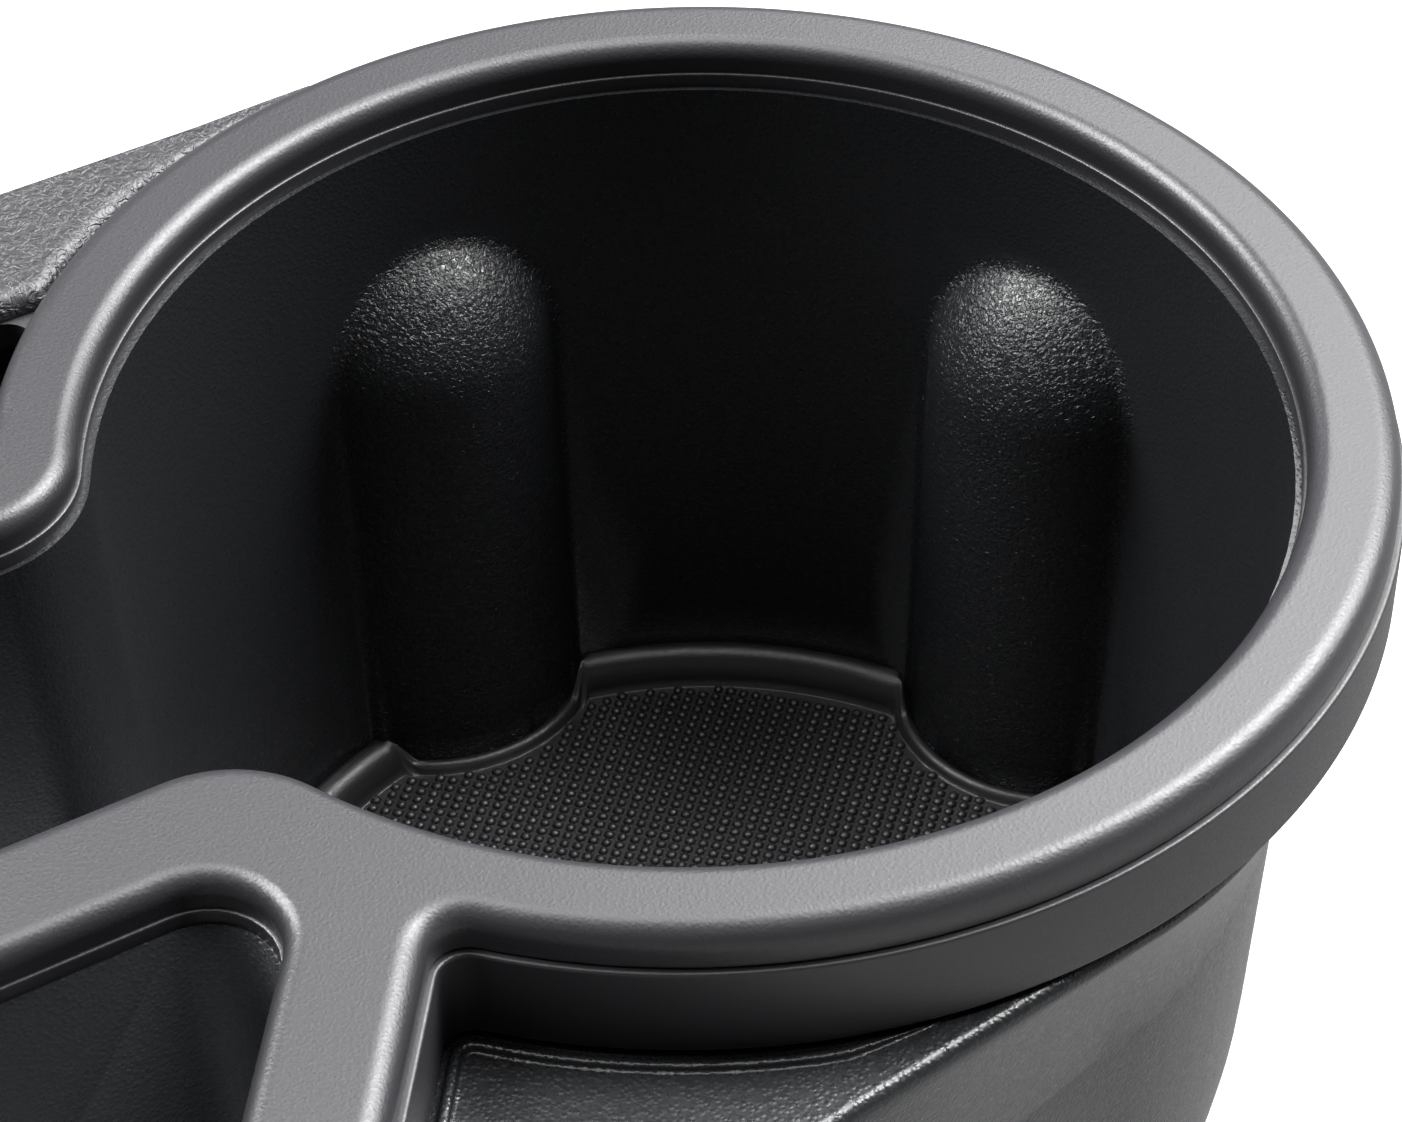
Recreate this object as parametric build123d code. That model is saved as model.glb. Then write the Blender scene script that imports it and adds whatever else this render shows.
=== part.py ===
from build123d import *
import os
from math import cos, hypot, radians, sin, sqrt, tan

# Twin car cup holder: two round wells joined by a neck, a three-cornered front pocket and a rear slot.
# Millimetres, +Z up. The model is built about the line of the two cup centres, standing on Z = 0.

# Plan sizes
CUP_SPACING = 122.0        # between the two cup centres
WELL_RADIUS = 42.0         # clear radius of a well at the seam under the rim
NECK_WIDTH = 25.6          # clear width of the neck between the wells
NECK_CORNER = 10.0         # rounding where the neck runs into a well
NECK_LAND = 10.3           # land beside the neck, from its wall to the next opening
RIM_WIDTH = 7.0            # from the well's wall to the outer edge of the bezel
POCKET_GAP = 5.7           # from a well's wall to the corner of the front pocket
POCKET_SIDE_ANGLE = 53.5   # slope of the pocket's sides, from the X axis
POCKET_CORNER = 4.4        # rounding of the pocket's two rear corners
POCKET_TIP = 6.0           # rounding of the pocket's front corner
BRANCH_WIDTH = 9.3         # from the pocket's wall to the outer edge of the bezel
BRANCH_CORNER = 2.4        # inside corner where a branch leaves the rim
REAR_CORNER = 3.5          # inside corner where the rim meets the rear land
SLOT_BACK = 37.0           # front edge of the rear rail, from the cup centres
SLOT_CORNER = 2.0          # rounding of the slot's rear corners
APRON_ANGLE = 18.0         # slope of the front wall, from the X axis
APRON_INSET = 0.5          # how far the front wall lies inside the wells' outer face
APRON_TIP = 40.0           # rounding of the front wall's nose

# Heights
WELL_DEPTH = 62.0          # from the seam under the rim to the floor of a well
FOOT_HEIGHT = 8.0          # from the surface it stands on to the floor of a well
NECK_DEPTH = 34.0          # from the seam to the floor of the neck
POCKET_DEPTH = 32.0        # from the seam to the floor of the front pocket
SLOT_DEPTH = 45.0          # from the seam to the floor of the rear slot
TURN_HEIGHT = 18.0         # height at which the outside turns in towards the foot

# Walls and drafts
WALL = 2.2                 # moulded wall
DRAFT = 2.2                # taper of every upright wall, degrees
FOOT_DRAFT = 10.0          # taper of the foot, degrees
TURN_ROUNDING = 60.0       # rounding where the outside turns in
BURIED = 2 * WALL          # how far a wall runs on inside another one
CLEARANCE = 0.3            # between pieces that pass through one another

# Ribs that steady a cup
RIB_ANGLES = (19.0, 90.0, 234.0)   # about the right cup, mirrored on the left
RIB_RADIUS = 11.3          # at the foot of the dome
RIB_CENTRE = 3.8           # its axis, outside the well's wall
RIB_TOP = 9.9              # from the seam to the top of the dome
RIB_DRAFT = 1.0            # taper of the rib, degrees
RIB_CORNER = 1.2           # rounding where a rib meets the wall

# Bezel
BEZEL_HEIGHT = 3.8         # top of the bezel above the seam
BEZEL_LEDGE = 0.4          # how far its lip stands back from the well's wall
BEZEL_STEP = 0.5           # second step back, above the lip
LIP_HEIGHT = 1.2           # height of the lip
INNER_ROLL = 2.4           # rounding of the inner edges
OUTER_ROLL = 2.6           # rounding of the outer edge
UNDER_ROLL = 0.5           # rounding under the outer edge
ROLL_FLAT = 0.05           # least flat left beside a rounding
STAKE_RADIUS = 0.9         # pins that fix the bezel to the frame
STAKE_HEAD = 1.3           # radius of a formed pin head
STAKE_HEAD_HEIGHT = 0.8
STAKE_PLAY = 0.15          # play round a pin in the frame
STAKE_ANGLES = (-75.0, 0.0, 75.0)   # about the right cup, mirrored on the left

# Frame under the bezel
FRAME_PROUD = 0.5          # how far the frame stands out beyond the bezel
FLANGE_TOP = 0.6           # top of its flange above the seam
SKIRT_DROP = 6.7           # foot of its skirt below the seam
SKIRT_WALL = 2.0
SKIRT_TOP_ROLL = 0.8       # rounding of the skirt's upper edge
SKIRT_FOOT_ROLL = 0.5      # rounding of the skirt's lower edge
RAIL_TOP = 2.3             # top of the rear rail above the seam
RAIL_END = 8.0             # the rail stops this far short of the cup centres
RAIL_ROLL = 1.6            # rounding of the rail's front edge
RAIL_EDGE = 0.6            # rounding of the rail's back edge
RAIL_GAP = 0.4             # between rail and bezel

# Deck round the front pocket
DECK_ROLL = 3.0            # rounding of the deck's front edge
BEAD_WIDTH = 1.0           # raised bead along the foot of the skirt
BEAD_HEIGHT = 0.9

# Screws that hold the tub to the frame
SCREW_RADIUS = 1.45
SCREW_HEAD_RADIUS = 2.8
SCREW_HEAD_HEIGHT = 2.0
SCREW_BITE = 5.0           # length of screw in a boss
SCREW_RECESS = 1.1         # depth of the drive recess
SCREW_SLOT = 0.8           # width of one arm of the drive recess
SCREW_HOLE = 0.25          # play round a screw in the tub
PILOT_PLAY = 0.1           # play round a screw in its boss
BOSS_RADIUS = 2.7
REAR_SCREW_X = 22.0
REAR_TAB_DROP = 9.0        # top of a rear tab below the seam
REAR_TAB_WIDTH = 11.0
FRONT_SCREW_ALONG = 16.0   # along a branch, from the pocket's rear corner

# Mats
MAT_THICKNESS = 2.5
MAT_LIP_HEIGHT = 5.4       # from the floor to the crest of the lip
MAT_LIP_WIDTH = 2.2
MAT_LIP_ROLL = 0.9
MAT_BORDER_WIDTH = 1.6     # low border round a rib
MAT_BORDER_HEIGHT = 0.9    # border above the mat's face

# Worked out from the sizes above
HALF_SPACING = CUP_SPACING / 2
SEAM = FOOT_HEIGHT + WELL_DEPTH
SLOPE = tan(radians(DRAFT))
RIM_RADIUS = WELL_RADIUS + RIM_WIDTH
FRAME_RADIUS = RIM_RADIUS + FRAME_PROUD
POCKET_BACK = -(NECK_WIDTH / 2 + NECK_LAND)
POCKET_HALF = HALF_SPACING - sqrt((WELL_RADIUS + POCKET_GAP) ** 2 - POCKET_BACK ** 2)
FLANGE_BOTTOM = FLANGE_TOP - WALL
DECK = SEAM - SKIRT_DROP - CLEARANCE
PLATE = BEZEL_HEIGHT - FLANGE_TOP      # thickness of the bezel's plate


def at_cups(shape):
    """The shape on the right cup's axis and its mirror image on the left one's."""
    right = Pos(HALF_SPACING, 0, 0) * shape
    return right + mirror(right, about=Plane.YZ)


def prism(sketch, low, high, taper=0.0):
    """The sketch drawn at the upper height and extruded down to the lower one."""
    return extrude(Pos(0, 0, high) * sketch, amount=high - low, dir=(0, 0, -1), taper=taper)


def strip(x_half, y_low, y_high):
    """A rectangle centred on X = 0 between two Y values."""
    return Pos(0, (y_low + y_high) / 2) * Rectangle(2 * x_half, y_high - y_low)


def twin_opening():
    """Plan of the two wells and the neck at the seam."""
    figure = at_cups(Circle(WELL_RADIUS)) + Rectangle(CUP_SPACING, NECK_WIDTH)
    corners = [v for v in figure.vertices() if abs(abs(v.Y) - NECK_WIDTH / 2) < 1e-6]
    return fillet(corners, NECK_CORNER)


def pocket_opening():
    """Plan of the front pocket at the seam: a triangle with rounded corners."""
    tip = POCKET_BACK - POCKET_HALF * tan(radians(POCKET_SIDE_ANGLE))
    corners = [(-POCKET_HALF, POCKET_BACK), (POCKET_HALF, POCKET_BACK), (0, tip)]
    triangle = make_face(Polyline(*corners, close=True))
    triangle = fillet(triangle.vertices().sort_by(Axis.Y)[1:], POCKET_CORNER)
    return fillet(triangle.vertices().sort_by(Axis.Y)[0], POCKET_TIP)


def rim_plan():
    """Outer outline of the bezel: two rings, the land behind the neck and the branches of the pocket."""
    land = Rectangle(CUP_SPACING, NECK_WIDTH + 2 * NECK_LAND)
    outline = at_cups(Circle(RIM_RADIUS)) + land + offset(POCKET, BRANCH_WIDTH)
    inside = [v for v in outline.vertices() if abs(v.X) < HALF_SPACING]
    outline = fillet([v for v in inside if v.Y > 0], REAR_CORNER)
    front = [v for v in outline.vertices() if abs(v.X) < HALF_SPACING and v.Y < 0]
    meeting = [v for v in front if abs(hypot(HALF_SPACING - abs(v.X), v.Y) - RIM_RADIUS) < 1e-4]
    return fillet(meeting, BRANCH_CORNER)


OPENING = twin_opening()
POCKET = pocket_opening()
RIM = rim_plan()
SKIRT = offset(RIM, FRAME_PROUD) + strip(HALF_SPACING, 0, FRAME_RADIUS)


def grown_openings(grow):
    """Wells, neck and front pocket, each grown by the same distance."""
    return offset(OPENING, grow) + offset(POCKET, grow)


def slot_plan():
    """Plan of the rear slot, between the bezel and the rail."""
    slot = strip(HALF_SPACING, 0, SLOT_BACK) - RIM
    return fillet([v for v in slot.vertices() if abs(v.Y - SLOT_BACK) < 1e-6], SLOT_CORNER)


def body_plan():
    """Plan of the body between the wells at deck height, with the nose of the front wall."""
    reach = WELL_RADIUS + WALL - SLOPE * (SEAM - DECK) - APRON_INSET
    start_x = HALF_SPACING + reach * sin(radians(APRON_ANGLE))
    start_y = -reach * cos(radians(APRON_ANGLE))
    tip = start_y - start_x * tan(radians(APRON_ANGLE))
    back = SLOT_BACK + CLEARANCE + WALL
    back_x = HALF_SPACING - sqrt(WELL_RADIUS ** 2 - SLOT_BACK ** 2) + 1.5 * BURIED
    side = [(start_x, start_y), (HALF_SPACING, 0), (back_x, back)]
    plan = make_face(Polyline(*side, *[(-x, y) for x, y in reversed(side)], (0, tip), close=True))
    return fillet(plan.vertices().sort_by(Axis.Y)[0], APRON_TIP)


def stake_points():
    """Where the bezel's pins pass through the frame, about the right cup."""
    middle = (WELL_RADIUS + WALL + CLEARANCE + FRAME_RADIUS - SKIRT_WALL) / 2
    return [(middle * cos(radians(a)), middle * sin(radians(a))) for a in STAKE_ANGLES]


def screw_points():
    """The screws right of the middle, under the rail and in a branch, each with the height of its seat."""
    rail_middle = (SLOT_BACK + FRAME_RADIUS) / 2
    along = (-cos(radians(POCKET_SIDE_ANGLE)), -sin(radians(POCKET_SIDE_ANGLE)))
    channel = (WALL + CLEARANCE + BRANCH_WIDTH + FRAME_PROUD - SKIRT_WALL) / 2
    x = POCKET_HALF + FRONT_SCREW_ALONG * along[0] - channel * along[1]
    y = POCKET_BACK + FRONT_SCREW_ALONG * along[1] + channel * along[0]
    return [(REAR_SCREW_X, rail_middle, SEAM - REAR_TAB_DROP), (x, y, DECK)]


def both_sides(shape):
    """The shape and its mirror image across the middle of the holder."""
    return shape + mirror(shape, about=Plane.YZ)


def rod(x, y, low, high, radius):
    """An upright round rod."""
    return Pos(x, y, low) * extrude(Circle(radius), high - low)


def outer_form(sketch, top):
    """A drafted outside that turns in towards the foot in one soft curve."""
    upper = prism(sketch, TURN_HEIGHT, top, taper=DRAFT)
    foot = extrude(upper.faces().sort_by(Axis.Z)[0], amount=TURN_HEIGHT, dir=(0, 0, -1), taper=FOOT_DRAFT)
    form = upper + foot
    turn = [e for e in form.edges() if abs(e.bounding_box().min.Z - TURN_HEIGHT) < 1e-4
            and abs(e.bounding_box().max.Z - TURN_HEIGHT) < 1e-4]
    return fillet(turn, TURN_ROUNDING)


def rib(shrink=0.0):
    """One cup rib about its own axis: a drafted round post with a domed top."""
    radius = RIB_RADIUS - shrink
    spring = SEAM - RIB_TOP - RIB_RADIUS
    foot_radius = radius + (spring - FOOT_HEIGHT) * tan(radians(RIB_DRAFT))
    dome = CenterArc((0, spring), radius, 0, 90)
    sides = Polyline((0, spring + radius), (0, FOOT_HEIGHT), (foot_radius, FOOT_HEIGHT), (radius, spring))
    return revolve(Plane.XZ * make_face(Curve() + [dome, sides]), Axis.Z)


def ribs(shrink=0.0):
    """The three ribs in their places about the right cup."""
    post = rib(shrink)
    reach = WELL_RADIUS + RIB_CENTRE
    return [Pos(reach * cos(radians(a)), reach * sin(radians(a)), 0) * post for a in RIB_ANGLES]


def well_cavity():
    """Inside of one well, with its ribs left standing and their creases rounded."""
    cavity = prism(Circle(WELL_RADIUS), FOOT_HEIGHT, SEAM, taper=DRAFT)
    for post in ribs():
        cavity = cavity - post
    upright = [e for e in cavity.edges() if FOOT_HEIGHT < e.center().Z < SEAM - RIB_TOP]
    return fillet([e for e in upright if e.length > RIB_RADIUS], RIB_CORNER)


def rim_bezel():
    """Top trim: a flat land with rolled edges, a lip on the tub's wall and pins through the frame."""
    plan = RIM - grown_openings(BEZEL_LEDGE + BEZEL_STEP)
    plate = prism(plan, SEAM + FLANGE_TOP, SEAM + BEZEL_HEIGHT)
    top = plate.faces().sort_by(Axis.Z)[-1]
    plate = fillet([e for w in top.inner_wires() for e in w.edges()], min(INNER_ROLL, PLATE - ROLL_FLAT))
    outer_roll = min(OUTER_ROLL, PLATE - UNDER_ROLL - ROLL_FLAT)
    plate = fillet(plate.faces().sort_by(Axis.Z)[-1].outer_wire().edges(), outer_roll)
    plate = fillet(plate.faces().sort_by(Axis.Z)[0].outer_wire().edges(), UNDER_ROLL)
    lip = prism(grown_openings(WALL) - grown_openings(BEZEL_LEDGE), SEAM, SEAM + LIP_HEIGHT)
    under = SEAM + FLANGE_BOTTOM
    for x, y in stake_points():
        pin = rod(x, y, under - STAKE_HEAD_HEIGHT, SEAM + FLANGE_TOP, STAKE_RADIUS)
        head = rod(x, y, under - STAKE_HEAD_HEIGHT, under, STAKE_HEAD)
        plate = plate + at_cups(pin + head)
    return plate + lip


def support_frame():
    """Flange under the bezel with a turned-down skirt, the rear rail and the screw bosses."""
    openings = grown_openings(WALL + CLEARANCE) + slot_plan()
    flange = prism(SKIRT - openings, SEAM + FLANGE_BOTTOM, SEAM + FLANGE_TOP)
    skirt = prism(SKIRT - offset(SKIRT, -SKIRT_WALL), SEAM - SKIRT_DROP, SEAM + FLANGE_TOP)
    frame = flange + skirt
    frame = fillet(frame.faces().sort_by(Axis.Z)[-1].outer_wire().edges(), SKIRT_TOP_ROLL)
    frame = fillet(frame.faces().sort_by(Axis.Z)[0].outer_wire().edges(), SKIRT_FOOT_ROLL)
    rail_plan = strip(HALF_SPACING - RAIL_END, SLOT_BACK, FRAME_RADIUS) - offset(RIM, RAIL_GAP)
    rail = prism(rail_plan, SEAM + FLANGE_BOTTOM, SEAM + RAIL_TOP)
    long_edges = rail.edges().filter_by(Axis.X).group_by(Axis.Z)[-1].sort_by(Axis.Y)
    rail = fillet(long_edges[0], RAIL_ROLL)
    long_edges = rail.edges().filter_by(Axis.X).group_by(Axis.Z)[-1].sort_by(Axis.Y)
    frame = frame + fillet(long_edges[-1], RAIL_EDGE)
    for x, y, seat in screw_points():
        frame = frame + both_sides(rod(x, y, seat, SEAM + FLANGE_TOP, BOSS_RADIUS))
        pilot = rod(x, y, seat, seat + SCREW_BITE + CLEARANCE, SCREW_RADIUS + PILOT_PLAY)
        frame = frame - both_sides(pilot)
    for x, y in stake_points():
        hole = rod(x, y, SEAM + FLANGE_BOTTOM, SEAM + FLANGE_TOP, STAKE_RADIUS + STAKE_PLAY)
        frame = frame - at_cups(hole)
        head_room = rod(x, y, SEAM - SKIRT_DROP, SEAM + FLANGE_BOTTOM, STAKE_HEAD + STAKE_PLAY)
        frame = frame - at_cups(head_room)
    return frame


def neck_plan():
    """Plan of the neck with its rounded mouths, reaching a little way into both wells."""
    across = WELL_RADIUS + NECK_CORNER
    mouth = sqrt(across ** 2 - (NECK_WIDTH / 2 + NECK_CORNER) ** 2) * WELL_RADIUS / across
    return OPENING & Rectangle(2 * (HALF_SPACING - mouth + 0.75 * BURIED), CUP_SPACING)


def well_tub():
    """The deep moulding: two ribbed wells, neck, pocket, rear slot, deck and front wall, open underneath."""
    plan = body_plan()
    body = outer_form(plan, DECK)
    rim = body.faces().sort_by(Axis.Z)[-1].outer_wire().edges()
    body = fillet([e for e in rim if e.center().Y < POCKET_BACK], DECK_ROLL)
    body = body - outer_form(offset(plan, -WALL), DECK - WALL)

    # Rear slot: the deck is opened, its back wall carried up to the frame and a floor put in
    back = SLOT_BACK + CLEARANCE
    front = NECK_WIDTH / 2 - SLOPE * NECK_DEPTH
    floor = SEAM - SLOT_DEPTH
    body = body - prism(strip(HALF_SPACING, 0, back), DECK - BURIED, DECK + WALL)
    upstand = strip(HALF_SPACING - WELL_RADIUS / 2, back, back + WALL)
    body = body + prism(upstand, DECK - BURIED, SEAM + FLANGE_BOTTOM)
    body = body + prism(strip(HALF_SPACING, front, back + WALL / 2), floor - WALL, floor)
    body = body + prism(strip(HALF_SPACING, front, front + WALL), floor - WALL, SEAM - NECK_DEPTH)

    # Bead on the deck along the foot of the skirt
    bead = offset(SKIRT, CLEARANCE + BEAD_WIDTH) - offset(SKIRT, CLEARANCE)
    bead = bead & offset(plan, -DECK_ROLL) & strip(CUP_SPACING, -CUP_SPACING, POCKET_BACK)
    body = body + prism(bead, DECK - WALL / 2, DECK + BEAD_HEIGHT)

    # Outsides of the pocket, the neck and the wells
    body = body + prism(offset(POCKET, WALL), SEAM - POCKET_DEPTH - WALL, SEAM, taper=DRAFT)
    body = body + prism(offset(neck_plan(), WALL), SEAM - NECK_DEPTH - WALL, SEAM, taper=DRAFT)
    body = body + at_cups(outer_form(Circle(WELL_RADIUS + WALL), SEAM))

    # Tabs under the rail, and a hole for every screw
    for x, y, seat in screw_points():
        if y > 0:
            tab = Pos(x, (back + y) / 2) * Rectangle(REAR_TAB_WIDTH, y - back)
            tab = tab + Pos(x, y) * Circle(REAR_TAB_WIDTH / 2)
            body = body + both_sides(prism(tab, seat - WALL, seat))
        body = body - both_sides(rod(x, y, seat - WALL, seat, SCREW_RADIUS + SCREW_HOLE))

    # Insides
    body = body - prism(POCKET, SEAM - POCKET_DEPTH, SEAM, taper=DRAFT)
    body = body - prism(neck_plan(), SEAM - NECK_DEPTH, SEAM, taper=DRAFT)
    body = body - at_cups(well_cavity())
    for core in ribs(WALL):
        body = body - at_cups(core)
    foot = WELL_RADIUS - SLOPE * (SEAM - TURN_HEIGHT) - tan(radians(FOOT_DRAFT)) * TURN_HEIGHT
    body = body - at_cups(extrude(Circle(foot), FOOT_HEIGHT - WALL, taper=-FOOT_DRAFT))
    return body


def cup_mat():
    """Mat on the floor of the right well, with a raised lip and cut-outs for the ribs."""
    def wall(height):
        return WELL_RADIUS - SLOPE * (WELL_DEPTH - height) - CLEARANCE
    crest = wall(MAT_LIP_HEIGHT)
    inner = crest - MAT_LIP_WIDTH
    lip = [(crest, MAT_LIP_HEIGHT), (inner, MAT_LIP_HEIGHT), (inner, MAT_THICKNESS)]
    profile = make_face(Polyline((0, 0), (wall(0), 0), *lip, (0, MAT_THICKNESS), close=True))
    rounded = [v for v in profile.vertices() if v.X > inner - 1e-4 and v.Y > MAT_THICKNESS - 1e-4]
    profile = fillet(rounded, MAT_LIP_ROLL)
    mat = Pos(0, 0, FOOT_HEIGHT) * revolve(Plane.XZ * profile, Axis.Z)
    disc = Pos(0, 0, FOOT_HEIGHT) * extrude(Circle(wall(0)), MAT_THICKNESS + MAT_BORDER_HEIGHT, taper=-DRAFT)
    for post in ribs(-CLEARANCE - MAT_BORDER_WIDTH):
        mat = mat + (post & disc)
    for post in ribs(-CLEARANCE):
        mat = mat - post
    return Pos(HALF_SPACING, 0, 0) * mat


def screw(x, y, seat):
    """Pan-head screw from below, its head against the tub and its shank in a boss of the frame."""
    under = seat - WALL
    head = rod(x, y, under - SCREW_HEAD_HEIGHT, under, SCREW_HEAD_RADIUS)
    head = fillet(head.edges().sort_by(Axis.Z)[0], SCREW_HEAD_HEIGHT / 2)
    shank = rod(x, y, under, seat + SCREW_BITE, SCREW_RADIUS)
    arm = Rectangle(SCREW_HEAD_RADIUS, SCREW_SLOT) + Rectangle(SCREW_SLOT, SCREW_HEAD_RADIUS)
    recess = Pos(x, y, under - SCREW_HEAD_HEIGHT) * extrude(arm, SCREW_RECESS)
    return head + shank - recess


def tub_screws():
    """The four screws that hold tub and frame together."""
    right = [screw(*point) for point in screw_points()]
    return right + [mirror(s, about=Plane.YZ) for s in right]


def main():
    os.makedirs("parts", exist_ok=True)
    mat = cup_mat()
    pieces = {
        "rim_bezel": [rim_bezel()],
        "support_frame": [support_frame()],
        "well_tub": [well_tub()],
        "right_cup_mat": [mat],
        "left_cup_mat": [mirror(mat, about=Plane.YZ)],
        "tub_screws": tub_screws(),
    }
    boxes = [solid.bounding_box() for solids in pieces.values() for solid in solids]
    middle = (min(box.min.Y for box in boxes) + max(box.max.Y for box in boxes)) / 2
    for name, solids in pieces.items():
        placed = [Pos(0, -middle, 0) * solid for solid in solids]
        piece = Compound(children=placed) if len(placed) > 1 else placed[0]
        export_step(piece, os.path.join("parts", name + ".step"))


if __name__ == "__main__":
    main()
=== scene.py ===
"""Looks of a twin car cup holder: mesh pieces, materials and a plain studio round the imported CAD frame."""
import math

import bmesh
import bpy
import numpy as np
from bpy.props import FloatProperty, FloatVectorProperty, PointerProperty
from mathutils import Matrix, Vector
from mathutils.geometry import delaunay_2d_cdt


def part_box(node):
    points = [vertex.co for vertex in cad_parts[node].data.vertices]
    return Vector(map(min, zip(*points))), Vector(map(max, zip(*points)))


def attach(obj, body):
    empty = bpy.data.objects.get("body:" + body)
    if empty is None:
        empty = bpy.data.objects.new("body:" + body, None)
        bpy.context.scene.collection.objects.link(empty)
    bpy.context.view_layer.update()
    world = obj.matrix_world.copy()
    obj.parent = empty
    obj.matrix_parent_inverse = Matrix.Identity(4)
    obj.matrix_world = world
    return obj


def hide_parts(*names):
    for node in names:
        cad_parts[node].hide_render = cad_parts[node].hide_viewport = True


bl_info = {
    "name": "Cup Holder Looks",
    "version": (1, 0, 0),
    "blender": (4, 5, 0),
    "location": "View3D > Sidebar > Cup Holder",
    "description": "Builds the visible pieces, materials and studio of a twin car cup holder",
    "category": "Object",
}

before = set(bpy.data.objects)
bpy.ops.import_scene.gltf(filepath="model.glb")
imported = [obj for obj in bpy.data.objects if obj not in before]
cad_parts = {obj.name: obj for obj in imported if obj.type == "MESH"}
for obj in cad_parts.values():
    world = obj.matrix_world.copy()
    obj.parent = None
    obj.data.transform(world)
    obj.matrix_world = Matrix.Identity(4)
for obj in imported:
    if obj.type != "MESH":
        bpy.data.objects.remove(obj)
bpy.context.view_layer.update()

MM = 0.001


def box_mm(node):
    """Lowest and highest corner of a CAD node in millimetres."""
    return [[value / MM for value in corner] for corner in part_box(node)]


# Places read from the frame, in millimetres. Plans are drawn about the line of the two cup centres.
RIM_HIGH = box_mm("rim_bezel")[1]
MAT_LOW, MAT_HIGH = box_mm("right_cup_mat")
CUP_X = (MAT_LOW[0] + MAT_HIGH[0]) / 2
RIM_RADIUS = RIM_HIGH[0] - CUP_X
CUP_Y = RIM_HIGH[1] - RIM_RADIUS
SEAM = box_mm("well_tub")[1][2]
FLOOR = MAT_LOW[2]
BEZEL_TOP = RIM_HIGH[2] - SEAM
FRAME_RADIUS = box_mm("support_frame")[1][0] - CUP_X
REAR_SEAT = box_mm("support_frame")[0][2] - SEAM

# Plan
RIM_WIDTH = 7.0            # from a well's wall to the outer edge of the bezel
NECK_WIDTH = 25.6
NECK_CORNER = 10.0
NECK_LAND = 10.3           # land beside the neck
POCKET_GAP = 5.7           # from a well's wall to the pocket's corner
POCKET_SIDE_ANGLE = 53.5   # slope of the pocket's sides, degrees
POCKET_CORNER = 4.4
POCKET_TIP = 6.0
BRANCH_WIDTH = 9.3         # from the pocket's wall to the outer edge of the bezel
BRANCH_CORNER = 2.4
REAR_CORNER = 3.5
SLOT_BACK = 37.0           # front edge of the rear rail
SLOT_CORNER = 2.0
RAIL_GAP = 0.4
RAIL_CORNER = 2.4          # corner between the rail's front edge and the rim
RAIL_TIP = 0.2

# Sections, heights above the seam
WALL = 2.2
CLEARANCE = 0.3
LEDGE = 0.4                # bezel's lip behind the tub's wall
STEP = 0.25                # second step back above the lip
LIP_HEIGHT = 1.2
INNER_ROLL = 1.5
OUTER_ROLL = 1.8
UNDER_ROLL = 0.25
EDGE = 0.15                # small rounding of moulded edges
FLANGE_TOP = 0.6
FLANGE_BOTTOM = FLANGE_TOP - WALL
SKIRT_WALL = 2.0
SKIRT_FOOT = -6.7
SKIRT_TOP_ROLL = 0.25
SKIRT_FOOT_ROLL = 0.5
RAIL_TOP = 2.3
RAIL_ROLL = 1.6
RAIL_EDGE = 0.6
RAIL_FACING = 0.3          # how far a normal faces the slot where the rounding starts to grow, and over which share
RAIL_FACING_RUN = 0.6
RAIL_ROOM = 0.25           # a rounding takes at most this share of the rail's depth
RAIL_FLAT = 1.2            # the flat top starts this many roundings in
RAIL_GRAIN = 0.5           # the rail's grain fades out over this far in front of it, and this far above the flange
RAIL_GRAIN_RISE = 0.3

# Ribs and mats
RIB_ANGLES = (19.0, 90.0, 234.0)
RIB_CENTRE = 3.8           # rib axis outside the well's wall
RIB_RADIUS = 11.3
RIB_TOP = 9.9              # dome below the seam
RIB_GRAIN = 0.5            # a rib's grain reaches this far past its side, and ends this far past it
RIB_GRAIN_END = 1.3
RIB_DRAFT = math.tan(math.radians(1.0))
DRAFT = math.tan(math.radians(2.2))
MAT_FACE = 2.5             # woven face above the well's floor
MAT_EDGE = 0.35            # rounding of the mat's foot
LIP_ROLL = 0.9             # rounding of the lip's crest
LIP_WIDTH = 0.9            # crest of the lip, and its foot on the face, from the mat's edge
LIP_FOOT = 3.0
LIP_END = 0.6              # the lip dies out this near a rib
BORDER_TOP = 0.9           # low border round a rib, above the face
BORDER_WIDTH = 0.4
BORDER_FOOT = 1.4
WEAVE_TURN = 45.0          # direction of the weave, degrees from the line of the cups
WEAVE_GAP = 0.4            # plain strip between the weave and the lip or a border
WEAVE_LONG = 1.12          # a bump's length and width as shares of the weave's pitch
WEAVE_WIDE = 0.88
WEAVE_VARY = 0.1           # bumps differ in size by this share
MAT_TURN = 0.75            # degrees between two points of a mat's edge
LIP_ROWS = 22              # rows of points over the lip, past its foot
LIP_PAST = 0.4
FACE_ROWS = (3.5, 4.5, 6.0)       # rows on the face, from the edge
CENTRE_ROWS = (0.75, 0.5, 0.25)   # rows further in, as shares of the way to the centre
HALVINGS = 40              # steps of the search for the mat's edge

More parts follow.
